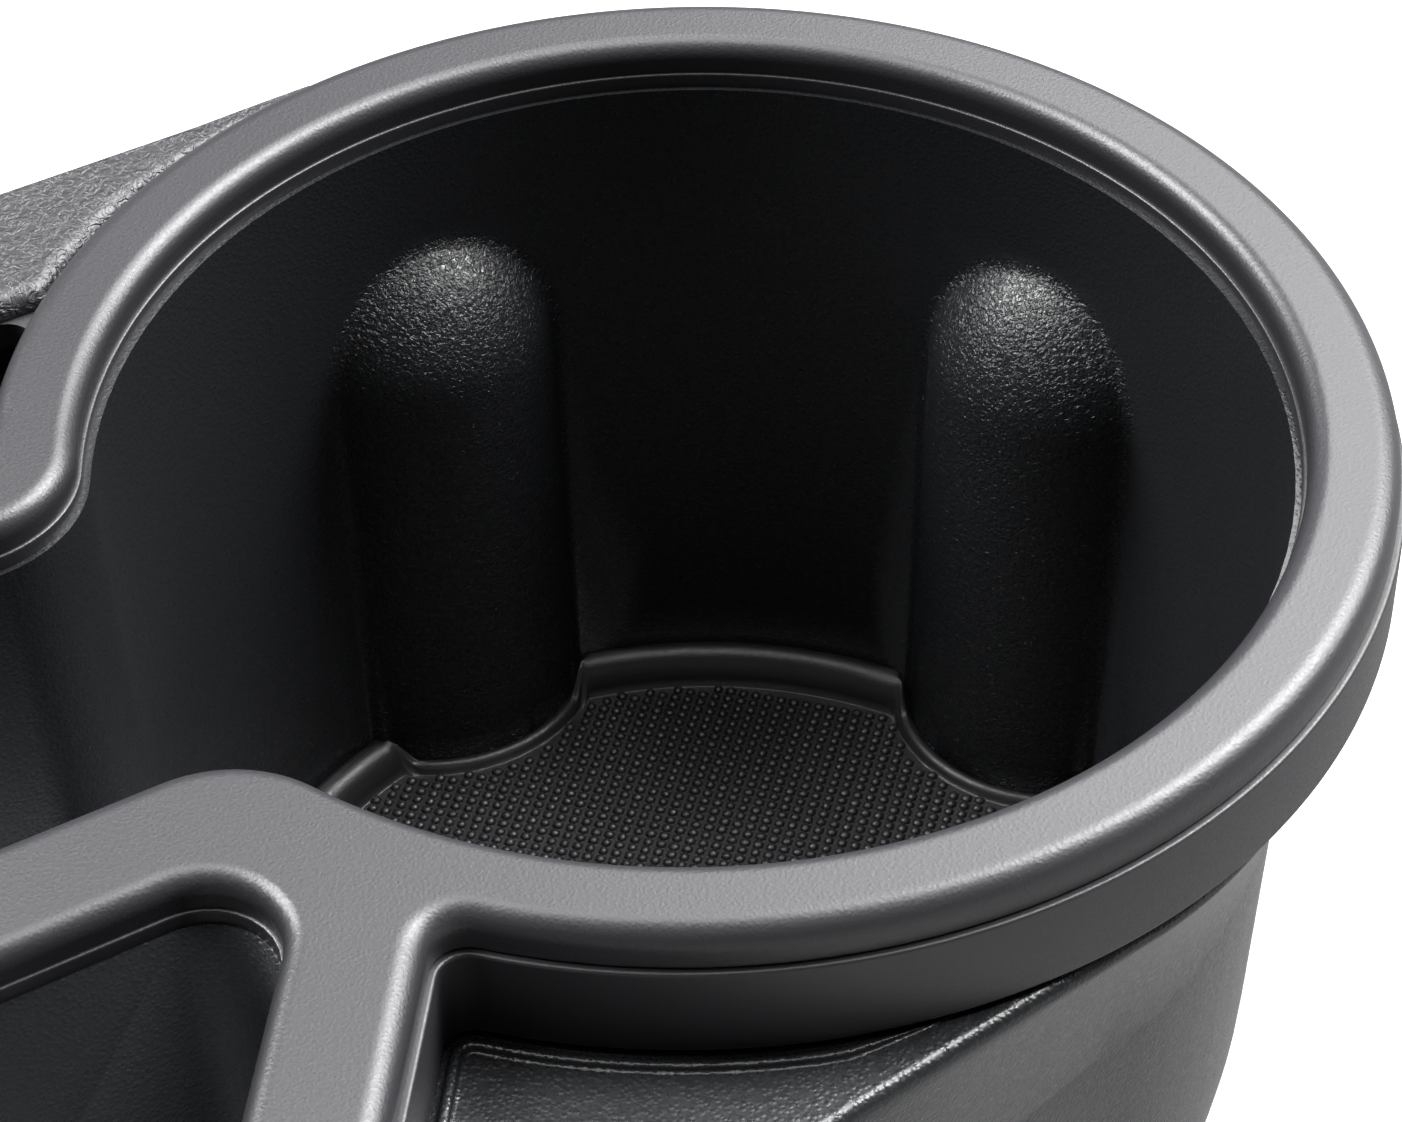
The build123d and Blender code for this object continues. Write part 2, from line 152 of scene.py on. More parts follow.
# Flared wall under the skirt, and the bead on the deck
FLARE_FOOT = -32.0         # where the flare runs out into the well's outside
FLARE_ANGLE = 7.0          # slope of the deck's front edge where it leaves the well
FLARE_RUN = 34.0           # the straight edge runs this far towards the middle
FLARE_END = 80.0           # the flare dies out at this angle behind the cup
FLARE_SIDE = 2.2           # how far the flare stands back under the skirt beside the cup
FLARE_SIDE_TURN = 40.0     # and over which turn it steps back, degrees
FLARE_SINK = 5.0           # how far the flare sinks into the wall at its end
FLARE_SINK_TURN = 30.0
FLARE_ROLL = 1.0
FLARE_ROWS = 18
FLARE_LEAST = 0.3          # least way that the flare runs in
BURIED = 0.1               # the flare's foot lies this deep in the wall
DECK_SKIN = 0.01           # the flare's top stands this far proud of the deck
APRON_ANGLE = 18.0         # slope of the CAD's own front wall, and how far it stands behind the well's outside
APRON_INSET = 0.5
BEAD_RADIUS = 0.4
BEAD_RISE = 0.8            # height of the bead as a share of its radius
BEAD_MIDDLE = 1.2          # its middle from the skirt's gap, in radii
BEAD_END = -100.0          # angle about the cup where the bead dies out
BEAD_FADE = 8.0            # length over which it dies out
BEAD_LEAST = 0.02          # share of it that is left at the end
BEAD_HIDE = 0.5            # its end runs this far back under the skirt
BEAD_SPARE = 0.15          # the strip under it is this much wider than the CAD's plain bead
BEAD_INSET = 0.1
BEAD_BED = 0.4             # depth of that strip in the deck
BEAD_SKIN = 0.02           # and how far it stands proud
BEAD_WIDTH = 1.0           # width and height of the CAD's plain bead
BEAD_HEIGHT = 0.9

# Pins and bosses
PIN_RADIUS = 0.9
PIN_HEAD = 1.3
PIN_HEAD_HEIGHT = 0.8
PIN_CHAMFER = 0.3
PIN_SLACK = 0.02
PIN_HOLE = 1.05
PIN_ANGLES = (-75.0, 0.0, 75.0)
BOSS_RADIUS = 2.7
REAR_SCREW_X = 22.0
FRONT_SCREW_ALONG = 16.0

# Meshes
WELD = 0.002               # points nearer than this are one, in a new mesh and in a copy of a CAD mesh
CAD_WELD = 0.001
LEVEL = 0.02               # heights that differ by less are the same
SHARP = 32.0               # edges sharper than this stay sharp, degrees
TUB_SHARP = 28.0
MAT_SHARP = 85.0

# Lamps: place and side in metres and power in watts, fitted with trial renders to the light and dark of the photo
LAMPS = {
    "rear": ((0.68, 0.52, 0.85), 0.6, 10.5),
    "right": ((0.95, -0.06, 0.65), 0.5, 12.0),
    "right_high": ((0.68, 0.02, 0.95), 0.5, 25.0),
    "left_rear": ((-0.40, 0.60, 0.90), 0.6, 32.0),
    "top": ((0.10, 0.10, 1.20), 0.6, 6.0),
}
FILL = 0.05                # plain light from all round
FLOOR_HALF = 6.0           # half the floor's side, metres
FLOOR_WHITE = 0.6          # share of plain white in the floor that the camera sees, the rest keeps the shadow
FLOOR_GLOSS = 0.62         # plain level of the floor in reflections

# Camera, fitted to the photo
PHOTO_WIDTH = 1402         # pixels
FOCAL_PIXELS = 4000
SENSOR = 36.0              # millimetres
VIEW_TILT = 42.92          # degrees
VIEW_TURN = 29.5
VIEW_LEAN = 1.07
VIEW_FROM_CUP = (-2.460, -4.371, 4.403)   # from the right cup at the seam, in well radii

# Worked out from the sizes above
WELL_RADIUS = RIM_RADIUS - RIM_WIDTH
DECK = SKIRT_FOOT - CLEARANCE
POCKET_BACK = -(NECK_WIDTH / 2 + NECK_LAND)
POCKET_HALF = CUP_X - math.sqrt((WELL_RADIUS + POCKET_GAP) ** 2 - POCKET_BACK ** 2)
RIB_REACH = WELL_RADIUS + RIB_CENTRE
RIB_FOOT = RIB_RADIUS + RIB_DRAFT * (SEAM - RIB_TOP - RIB_RADIUS - FLOOR) + CLEARANCE
MAT_RADIUS = WELL_RADIUS - DRAFT * (SEAM - FLOOR) - CLEARANCE
FLARE_RADIUS = FRAME_RADIUS - CLEARANCE
SIDE_NORMAL = POCKET_SIDE_ANGLE - 90.0


def linear(code):
    """Linear colour of an sRGB hex code."""
    channels = [int(code[i:i + 2], 16) / 255 for i in (0, 2, 4)]
    return [c / 12.92 if c <= 0.04045 else ((c + 0.055) / 1.055) ** 2.4 for c in channels]


def ray(angle):
    """Unit vector at an angle in degrees."""
    return np.array([math.cos(math.radians(angle)), math.sin(math.radians(angle))])


def heading(vector):
    """Angle of a vector in degrees."""
    return math.degrees(math.atan2(vector[1], vector[0]))


def ease(value):
    """A soft step from 0 to 1."""
    value = np.clip(value, 0, 1)
    return value * value * (3 - 2 * value)


def outline(arcs, step=1.0, closed=True):
    """Points and outward normals along arcs of (x, y, radius, start, end) and the straight runs between them."""
    points, normals = [], []
    for x, y, radius, start, end in arcs:
        count = max(8, math.ceil(abs(math.radians(end - start)) * radius / step))
        angles = np.radians(np.linspace(start, end, count + 1))
        rays = np.column_stack([np.cos(angles), np.sin(angles)])
        points.append(rays * radius + (x, y))
        normals.append(rays if end > start else -rays)
    all_points, all_normals = [], []
    for i, (line, facing) in enumerate(zip(points, normals)):
        all_points.append(line)
        all_normals.append(facing)
        if i + 1 < len(points) or closed:
            there = points[(i + 1) % len(points)][0]
            gap = np.linalg.norm(there - line[-1])
            if gap > 1e-6:
                between = np.linspace(0, 1, max(2, math.ceil(gap / step)) + 1)[1:-1, None]
                all_points.append(line[-1] + (there - line[-1]) * between)
                all_normals.append(np.tile(facing[-1], (len(between), 1)))
            else:
                all_points[-1] = all_points[-1][:-1]
                all_normals[-1] = all_normals[-1][:-1]
    return np.concatenate(all_points), np.concatenate(all_normals)


def mirrored(arcs):
    """The same arcs on the other side of X = 0, in the order that keeps the outline going round."""
    return [(-x, y, radius, 180 - end, 180 - start) for x, y, radius, start, end in reversed(arcs)]


def opening_arcs():
    """Wells and neck at the seam."""
    y = NECK_WIDTH / 2 + NECK_CORNER
    x = CUP_X - math.sqrt((WELL_RADIUS + NECK_CORNER) ** 2 - y ** 2)
    turn = heading((CUP_X - x, -y))
    right = [(x, -y, NECK_CORNER, 90, -turn), (CUP_X, 0, WELL_RADIUS, -180 - turn, 180 + turn),
             (x, y, NECK_CORNER, turn, -90)]
    return right + mirrored(right)


def pocket_arcs():
    """Front pocket at the seam: a triangle with rounded corners."""
    normal = ray(SIDE_NORMAL)
    x = POCKET_HALF - POCKET_CORNER / math.tan(math.radians(POCKET_SIDE_ANGLE / 2))
    reach = normal @ (POCKET_HALF, POCKET_BACK)
    tip = (reach - POCKET_TIP) / normal[1]
    corner = [(x, POCKET_BACK - POCKET_CORNER, POCKET_CORNER, SIDE_NORMAL, 90)]
    return corner + mirrored(corner) + [(0, tip, POCKET_TIP, -180 - SIDE_NORMAL, SIDE_NORMAL)]


def front_arcs(grow):
    """Right half of the front of the bezel's outline, grown: the tip, the branch's corner and where the rim starts."""
    normal = ray(SIDE_NORMAL)
    along = ray(POCKET_SIDE_ANGLE)
    radius = BRANCH_CORNER - grow
    ring = RIM_RADIUS + grow + radius
    foot = normal * (normal @ (POCKET_HALF, POCKET_BACK) + BRANCH_WIDTH + grow + radius) - (CUP_X, 0)
    middle = foot @ along
    centre = foot + along * (-middle - math.sqrt(middle ** 2 - foot @ foot + ring ** 2)) + (CUP_X, 0)
    start = heading(centre - (CUP_X, 0))
    tip = pocket_arcs()[-1]
    wide = (0, tip[1], tip[2] + BRANCH_WIDTH + grow, -90, SIDE_NORMAL)
    return [wide, (centre[0], centre[1], radius, SIDE_NORMAL + 180, start + 180)], start


def rim_arcs():
    """Outer outline of the bezel."""
    front, start = front_arcs(0)
    y = -POCKET_BACK + REAR_CORNER
    x = CUP_X - math.sqrt((RIM_RADIUS + REAR_CORNER) ** 2 - y ** 2)
    turn = heading((CUP_X - x, -y))
    right = front + [(CUP_X, 0, RIM_RADIUS, start, 180 + turn), (x, y, REAR_CORNER, turn, -90)]
    return right + mirrored(right)


def skirt_arcs():
    """Outer outline of the frame, with the straight back behind the rail."""
    front, start = front_arcs(FRAME_RADIUS - RIM_RADIUS)
    right = front + [(CUP_X, 0, FRAME_RADIUS, start, 90)]
    return right + mirrored(right)


def slot_arcs():
    """Rear slot, between the bezel and the rail."""
    low = -POCKET_BACK + REAR_CORNER
    low_x = CUP_X - math.sqrt((RIM_RADIUS + REAR_CORNER) ** 2 - low ** 2)
    high = SLOT_BACK - SLOT_CORNER
    high_x = CUP_X - math.sqrt((RIM_RADIUS + SLOT_CORNER) ** 2 - high ** 2)
    low_turn, high_turn = heading((CUP_X - low_x, -low)), heading((CUP_X - high_x, -high))
    right = [(low_x, low, REAR_CORNER, -90, low_turn), (CUP_X, 0, RIM_RADIUS, 180 + low_turn, 180 + high_turn),
             (high_x, high, SLOT_CORNER, high_turn, 90)]
    return right + mirrored(right)


def rail_arcs():
    """Rail behind the slot, hollowed at both ends by the rims."""
    ring = RIM_RADIUS + RAIL_GAP
    low = SLOT_BACK + RAIL_CORNER
    low_x = CUP_X - math.sqrt((ring + RAIL_CORNER) ** 2 - low ** 2)
    high = FRAME_RADIUS - RAIL_TIP
    high_x = CUP_X - math.sqrt((ring + RAIL_TIP) ** 2 - high ** 2)
    low_turn, high_turn = heading((CUP_X - low_x, -low)), heading((CUP_X - high_x, -high))
    right = [(low_x, low, RAIL_CORNER, -90, low_turn), (CUP_X, 0, ring, 180 + low_turn, 180 + high_turn),
             (high_x, high, RAIL_TIP, high_turn, 90)]
    return right + mirrored(right)


def circle(x, y, radius, count=24):
    """A round outline."""
    angles = np.linspace(0, 2 * math.pi, count, endpoint=False)
    rays = np.column_stack([np.cos(angles), np.sin(angles)])
    return rays * radius + (x, y), rays


def roll(out, height, radius, start, end, count=10):
    """Rows of a rounded edge about a centre, from one angle to another."""
    angles = np.radians(np.linspace(start, end, count + 1))
    return [(out + radius * math.cos(a), height + radius * math.sin(a)) for a in angles]


def grid_faces(rows, columns, closed):
    """Quads of a grid of points, row after row."""
    last = columns if closed else columns - 1
    return [(i * columns + j, i * columns + (j + 1) % columns,
             (i + 1) * columns + (j + 1) % columns, (i + 1) * columns + j)
            for i in range(rows - 1) for j in range(last)]


def sweep(line, rows, closed=True):
    """A section of (out, height) rows carried along an outline. Rows run up outside and in over the top.

    Along an open outline the section is a closed loop, and both ends get a cap.
    """
    points, normals = line
    count = len(points)
    verts = [np.column_stack([points + normals * np.reshape(out, (-1, 1)), np.zeros(count) + height])
             for out, height in rows]
    faces = grid_faces(len(rows), count, closed)
    if not closed:
        start = [i * count for i in range(len(rows) - 1)]
        faces += [start, [i + count - 1 for i in reversed(start)]]
    return np.concatenate(verts), faces


def shifted(line, out):
    """Points of an outline moved along its normals."""
    return line[0] + line[1] * np.reshape(out, (-1, 1))


def inside(points, loop):
    """Whether each point lies inside a closed loop."""
    ahead = np.roll(loop, -1, axis=0)
    found = np.zeros(len(points), bool)
    for (x0, y0), (x1, y1) in zip(loop, ahead):
        crosses = (y0 > points[:, 1]) != (y1 > points[:, 1])
        if crosses.any():
            found ^= crosses & (points[:, 0] < x0 + (points[:, 1] - y0) * (x1 - x0) / (y1 - y0 or 1e-12))
    return found


def land(loops, height):
    """A flat face between an outer loop and the loops of its holes."""
    points = np.concatenate(loops)
    edges, first = [], 0
    for loop in loops:
        edges += [(first + i, first + (i + 1) % len(loop)) for i in range(len(loop))]
        first += len(loop)
    verts, _, faces, _, _, _ = delaunay_2d_cdt([Vector(p) for p in points], edges, [], 0, 1e-7)
    flat = np.array([tuple(v) for v in verts])
    middle = np.array([flat[list(face)].mean(axis=0) for face in faces])
    keep = inside(middle, loops[0])
    for loop in loops[1:]:
        keep &= ~inside(middle, loop)
    faces = [tuple(face) for face, kept in zip(faces, keep) if kept]
    return np.column_stack([flat, np.zeros(len(flat)) + height]), faces


def turned(x, y, rows):
    """A round part about an upright axis, from (radius, height) rows, with its ends closed by fans."""
    line = circle(x, y, 0.0)
    verts, faces = sweep(line, rows)
    count = len(line[0])
    verts = np.concatenate([verts, [(x, y, rows[0][1]), (x, y, rows[-1][1])]])
    low, high, top = len(verts) - 2, len(verts) - 1, (len(rows) - 1) * count
    faces += [(low, (j + 1) % count, j) for j in range(count)]
    faces += [(high, top + j, top + (j + 1) % count) for j in range(count)]
    return verts, faces


def both(part):
    """A part and its mirror image across X = 0."""
    verts, faces = part
    return [part, (verts * (-1, 1, 1), [tuple(reversed(face)) for face in faces])]


def mesh_of(name, parts):
    """One mesh from parts in plan millimetres above the seam, with its seams closed and its faces outward."""
    verts, faces, first = [], [], 0
    for part_verts, part_faces in parts:
        verts.append(part_verts)
        faces += [tuple(first + i for i in face) for face in part_faces]
        first += len(part_verts)
    places = (np.concatenate(verts) + (0, CUP_Y, SEAM)) * MM
    mesh = bpy.data.meshes.new(name)
    mesh.from_pydata(places.tolist(), [], faces)
    shape = bmesh.new()
    shape.from_mesh(mesh)
    bmesh.ops.remove_doubles(shape, verts=shape.verts, dist=WELD * MM)
    loose = [v for v in shape.verts if not v.link_faces]
    bmesh.ops.delete(shape, geom=loose, context="VERTS")
    bmesh.ops.recalc_face_normals(shape, faces=shape.faces)
    shape.to_mesh(mesh)
    shape.free()
    return mesh


def finish_piece(name, mesh, node, material, sharp=SHARP):
    """A finished piece that stands for a CAD node, with smooth shading and its material."""
    mesh.shade_smooth()
    mesh.set_sharp_from_angle(angle=math.radians(sharp))
    mesh.materials.clear()
    mesh.materials.append(material)
    made = bpy.data.objects.new(name, mesh)
    bpy.context.scene.collection.objects.link(made)
    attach(made, "root")
    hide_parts(node)


def pin_points():
    """Where the bezel's pins pass through the frame, on the right."""
    middle = (WELL_RADIUS + WALL + CLEARANCE + FRAME_RADIUS - SKIRT_WALL) / 2
    return [middle * ray(angle) + (CUP_X, 0) for angle in PIN_ANGLES]


def screw_points():
    """Screw axes on the right, each with the height of its seat above the seam."""
    along, normal = -ray(POCKET_SIDE_ANGLE), ray(SIDE_NORMAL)
    channel = (WALL + CLEARANCE + BRANCH_WIDTH + FRAME_RADIUS - RIM_RADIUS - SKIRT_WALL) / 2
    front = np.array([POCKET_HALF, POCKET_BACK]) + FRONT_SCREW_ALONG * along + channel * normal
    return [(REAR_SCREW_X, (SLOT_BACK + FRAME_RADIUS) / 2, REAR_SEAT), (front[0], front[1], DECK)]


# Kinds of node that come up often, and settings that go with them
MATHS, RANGE, NOISE = "ShaderNodeMath", "ShaderNodeMapRange", "ShaderNodeTexNoise"
VECTORS, BUMP, MIX = "ShaderNodeVectorMath", "ShaderNodeBump", "ShaderNodeMix"
SMOOTH = {"interpolation_type": "SMOOTHSTEP"}
COLOUR = {"data_type": "RGBA"}
SOFT = {"Detail": 2.0, "Roughness": 0.55}
FINE = {"Detail": 3.0, "Roughness": 0.55}
NOISE_RANGE = (0.3, 0.7)   # where most of a noise's values lie
FOLD_RANGE = (0.35, 0.65)  # a narrower share of it, which gives folds with flat crests


def add(tree, kind, inputs=(), **settings):
    """A new node with its settings. Inputs go by name or in order: values, sockets, or nodes for their first output."""
    made = tree.nodes.new(kind)
    for key, value in settings.items():
        setattr(made, key, value)
    for key, value in inputs.items() if isinstance(inputs, dict) else enumerate(inputs):
        source = value.outputs[0] if isinstance(value, bpy.types.Node) else value
        if isinstance(source, bpy.types.NodeSocket):
            tree.links.new(source, made.inputs[key])
        else:
            made.inputs[key].default_value = source
    return made


def new_material(name):
    """An empty node material with its tree and the object's coordinates."""
    material = bpy.data.materials.new(name)
    material.use_nodes = True
    tree = material.node_tree
    tree.nodes.clear()
    return material, tree, add(tree, "ShaderNodeTexCoord").outputs["Object"]


def shade(tree, surface):
    """Shader of a material, from its inputs, and the material's output."""
    add(tree, "ShaderNodeOutputMaterial", (add(tree, "ShaderNodeBsdfPrincipled", surface),))


def scale_of(cell):
    """Scale of a texture with cells of a real size in millimetres."""
    return 1 / (cell * MM)


def pebbles(tree, place, cell):
    """Rounded cells of a real size in millimetres, high in the middle."""
    cells = add(tree, "ShaderNodeTexVoronoi", {"Vector": place, "Scale": scale_of(cell)}, feature="F1")
    return add(tree, RANGE, (cells, 0.0, 0.7, 1.0, 0.0), **SMOOTH)


def shades(colour, change):
    """The two inputs of a colour mix: a colour made a little darker and a little lighter."""
    return {6: [c * (1 - change) for c in colour] + [1], 7: [min(1, c * (1 + change)) for c in colour] + [1]}


def satin_abs(looks):
    """Satin ABS of the bezel. Gives the eye a very fine even grain and a soft broad gleam on the rolled edges."""
    material, tree, place = new_material("satin_abs")
    fine = add(tree, NOISE, {"Vector": place, "Scale": scale_of(looks.trim_grain), **SOFT})
    cells = pebbles(tree, place, 1.6 * looks.trim_grain)
    grain = add(tree, MATHS, (cells, 0.5, fine), operation="MULTIPLY_ADD")
    drift = add(tree, NOISE, {"Vector": place, "Scale": scale_of(18.0), **SOFT})
    tone = add(tree, MIX, {0: drift, **shades(looks.trim_colour, 0.10)}, **COLOUR)
    shade(tree, {"Base Color": tone.outputs[2],
                 "Roughness": add(tree, RANGE, (fine, *NOISE_RANGE, 0.36, 0.44), **SMOOTH),
                 "IOR": 1.53,
                 "Normal": add(tree, BUMP, {"Distance": looks.trim_depth * MM, "Height": grain})})
    return material


def rib_mask(tree, place):
    """1 on the domed ribs of both wells and 0 on the walls, from the distance to the nearest rib's axis."""
    parts = add(tree, "ShaderNodeSeparateXYZ", (place,)).outputs
    spring = (SEAM - RIB_TOP - RIB_RADIUS) * MM
    rise = add(tree, MATHS, (parts["Z"], spring), operation="SUBTRACT")
    above = add(tree, MATHS, (rise, 0.0), operation="MAXIMUM")
    aside = add(tree, MATHS, (parts["X"],), operation="ABSOLUTE")
    point = add(tree, "ShaderNodeCombineXYZ", (aside, parts["Y"], above))
    nearest = None
    for angle in RIB_ANGLES:
        x, y = (RIB_REACH * ray(angle) + (CUP_X, CUP_Y)) * MM
        gap = add(tree, VECTORS, (point, (x, y, 0.0)), operation="DISTANCE").outputs["Value"]
        nearest = gap if nearest is None else add(tree, MATHS, (nearest, gap), operation="MINIMUM")
    inner, outer = (RIB_RADIUS + RIB_GRAIN) * MM, (RIB_RADIUS + RIB_GRAIN_END) * MM
    return add(tree, RANGE, (nearest, inner, outer, 1.0, 0.0), **SMOOTH)


def grained_plastic(looks):
    """Moulded plastic of the tub. Gives the eye a fine pebble grain on the walls and a leather grain on the ribs."""
    material, tree, place = new_material("grained_plastic")
    mask = rib_mask(tree, place)
    wrinkles = add(tree, NOISE, {"Vector": place, "Scale": scale_of(looks.rib_grain), "Distortion": 1.2, **SOFT})
    folds = add(tree, RANGE, (wrinkles, *FOLD_RANGE, 0.0, 1.0), **SMOOTH)
    leather = add(tree, MATHS, (pebbles(tree, place, looks.rib_grain), 0.5, folds), operation="MULTIPLY_ADD")
    ribs = add(tree, MATHS, (leather, mask), operation="MULTIPLY")
    bare = add(tree, MATHS, (1.0, mask), operation="SUBTRACT")
    walls = add(tree, MATHS, (pebbles(tree, place, looks.wall_grain), bare), operation="MULTIPLY")
    height = add(tree, MATHS, (walls, looks.wall_depth / looks.rib_depth, ribs), operation="MULTIPLY_ADD")
    drift = add(tree, NOISE, {"Vector": place, "Scale": scale_of(25.0), **SOFT})
    tone = add(tree, MIX, {0: drift, **shades(looks.tub_colour, 0.12)}, **COLOUR)
    shade(tree, {"Base Color": tone.outputs[2],
                 "Roughness": add(tree, RANGE, (wrinkles, *NOISE_RANGE, 0.25, 0.33), **SMOOTH),
                 "IOR": 1.49,
                 "Normal": add(tree, BUMP, {"Distance": looks.rib_depth * MM, "Height": height})})
    return material


def frame_plastic(looks):
    """Plastic of the frame. Gives the eye a satin skirt, and a leather grain on the rail behind the slot."""
    material, tree, place = new_material("frame_plastic")
    parts = add(tree, "ShaderNodeSeparateXYZ", (place,)).outputs
    rail_front, rail_foot = CUP_Y + SLOT_BACK, SEAM + FLANGE_TOP
    back = add(tree, RANGE, (parts["Y"], (rail_front - RAIL_GRAIN) * MM, rail_front * MM, 0.0, 1.0), **SMOOTH)
    above = add(tree, RANGE, (parts["Z"], rail_foot * MM, (rail_foot + RAIL_GRAIN_RISE) * MM, 0.0, 1.0), **SMOOTH)
    rail = add(tree, MATHS, (back, above), operation="MULTIPLY")
    fine = add(tree, NOISE, {"Vector": place, "Scale": scale_of(looks.trim_grain), **FINE})
    wrinkles = add(tree, NOISE, {"Vector": place, "Scale": scale_of(2 * looks.rib_grain), "Distortion": 1.2, **SOFT})
    folds = add(tree, RANGE, (wrinkles, *FOLD_RANGE, 0.0, 1.2), **SMOOTH)
    bare = add(tree, MATHS, (1.0, rail), operation="SUBTRACT")
    skirt = add(tree, MATHS, (fine, bare), operation="MULTIPLY")
    leather = add(tree, MATHS, (folds, rail), operation="MULTIPLY")
    height = add(tree, MATHS, (skirt, looks.trim_depth / looks.rib_depth, leather), operation="MULTIPLY_ADD")
    drift = add(tree, NOISE, {"Vector": place, "Scale": scale_of(20.0), **SOFT})
    tone = add(tree, MIX, {0: drift, **shades(looks.frame_colour, 0.10)}, **COLOUR)
    shade(tree, {"Base Color": tone.outputs[2],
                 "Roughness": add(tree, RANGE, (fine, *NOISE_RANGE, 0.38, 0.50), **SMOOTH),
                 "IOR": 1.53,
                 "Normal": add(tree, BUMP, {"Distance": looks.rib_depth * MM, "Height": height})})
    return material


def mat_rubber(looks):
    """Soft rubber of the mats. Gives the eye a dull bloom with a faint mottle, under the modelled weave."""
    material, tree, place = new_material("mat_rubber")
    fine = add(tree, NOISE, {"Vector": place, "Scale": scale_of(0.22), **SOFT})
    drift = add(tree, NOISE, {"Vector": place, "Scale": scale_of(9.0), **FINE})
    tone = add(tree, MIX, {0: drift, **shades(looks.mat_colour, 0.14)}, **COLOUR)
    shade(tree, {"Base Color": tone.outputs[2],
                 "Roughness": add(tree, RANGE, (fine, *NOISE_RANGE, 0.34, 0.46), **SMOOTH),
                 "IOR": 1.52,
                 "Normal": add(tree, BUMP, {"Distance": 0.02 * MM, "Height": fine})})
    return material


def plated_steel(looks):
    """Dark plated steel of the screws. Gives the eye a metal gleam with fine scratches."""
    material, tree, place = new_material("plated_steel")
    fine = add(tree, NOISE, {"Vector": place, "Scale": scale_of(0.3), "Distortion": 2.0, **FINE})
    tone = add(tree, MIX, {0: fine, **shades(looks.screw_colour, 0.2)}, **COLOUR)
    shade(tree, {"Base Color": tone.outputs[2],
                 "Roughness": add(tree, RANGE, (fine, *NOISE_RANGE, 0.28, 0.42), **SMOOTH),
                 "Metallic": 1.0,
                 "Normal": add(tree, BUMP, {"Distance": 0.008 * MM, "Height": fine})})
    return material


def bezel_parts():
    """Top trim: a flat land with rolled edges, the lip on the tub's wall and the pins that fix it."""
    rim = outline(rim_arcs())
    holes = [outline(opening_arcs()), outline(pocket_arcs())]
    outer = (roll(-UNDER_ROLL, FLANGE_TOP + UNDER_ROLL, UNDER_ROLL, -90, 0, 6)
             + roll(-OUTER_ROLL, BEZEL_TOP - OUTER_ROLL, OUTER_ROLL, 0, 90, 14))
    edge = -OUTER_ROLL - EDGE
    outer.append((edge, BEZEL_TOP))
    foot = LEDGE + STEP
    inner = [(foot + INNER_ROLL + EDGE, BEZEL_TOP)]
    inner += roll(foot + INNER_ROLL, BEZEL_TOP - INNER_ROLL, INNER_ROLL, 90, 180, 14)
    inner += [(foot, LIP_HEIGHT)]
    inner += roll(LEDGE + EDGE, LIP_HEIGHT - EDGE, EDGE, 90, 180, 4)
    inner += [(LEDGE, 0.0), (WALL, 0.0), (WALL, FLANGE_TOP)]
    parts = [sweep(rim, outer)] + [sweep(hole, inner) for hole in holes]
    parts.append(land([shifted(rim, edge)] + [shifted(hole, inner[0][0]) for hole in holes], BEZEL_TOP))
    parts.append(land([shifted(rim, -UNDER_ROLL)] + [shifted(hole, WALL) for hole in holes], FLANGE_TOP))
    head = FLANGE_BOTTOM - PIN_HEAD_HEIGHT
    for x, y in pin_points():
        rows = [(PIN_HEAD - PIN_CHAMFER, head), (PIN_HEAD, head + PIN_CHAMFER), (PIN_HEAD, FLANGE_BOTTOM - PIN_SLACK),
                (PIN_RADIUS, FLANGE_BOTTOM - PIN_SLACK), (PIN_RADIUS, FLANGE_TOP)]
        parts += both(turned(x, y, rows))
    return parts


def frame_parts():
    """Frame under the bezel: a flange with a turned-down skirt, the grained rail and the screw bosses."""
    skirt = outline(skirt_arcs())
    holes = [outline(opening_arcs()), outline(pocket_arcs())]
    hole_edge = WALL + CLEARANCE
    rows = [(-SKIRT_WALL, FLANGE_BOTTOM), (-SKIRT_WALL, SKIRT_FOOT + EDGE), (-SKIRT_WALL + EDGE, SKIRT_FOOT)]
    rows += roll(-SKIRT_FOOT_ROLL, SKIRT_FOOT + SKIRT_FOOT_ROLL, SKIRT_FOOT_ROLL, -90, 0, 6)
    rows += roll(-SKIRT_TOP_ROLL, FLANGE_TOP - SKIRT_TOP_ROLL, SKIRT_TOP_ROLL, 0, 90, 8)
    rows.append((-SKIRT_TOP_ROLL - EDGE, FLANGE_TOP))
    parts = [sweep(skirt, rows)]
    slot = outline(slot_arcs())
    cut = [(hole, hole_edge) for hole in holes] + [(slot, 0.0)]
    parts += [sweep(line, [(out, FLANGE_TOP), (out, FLANGE_BOTTOM)]) for line, out in cut]
    pins = [circle(side * x, y, PIN_HOLE) for x, y in pin_points() for side in (1, -1)]
    parts += [sweep(pin, [(0.0, FLANGE_TOP), (0.0, FLANGE_BOTTOM)]) for pin in pins]
    loops = [shifted(line, out) for line, out in cut] + [pin[0] for pin in pins]
    parts.append(land([shifted(skirt, rows[-1][0])] + loops, FLANGE_TOP))
    parts.append(land([shifted(skirt, -SKIRT_WALL)] + loops, FLANGE_BOTTOM))
    parts += rail_parts()
    for x, y, seat in screw_points():
        top = FLANGE_BOTTOM + WALL / 2
        parts += both(turned(x, y, [(BOSS_RADIUS - EDGE, seat), (BOSS_RADIUS, seat + EDGE), (BOSS_RADIUS, top)]))
    return parts


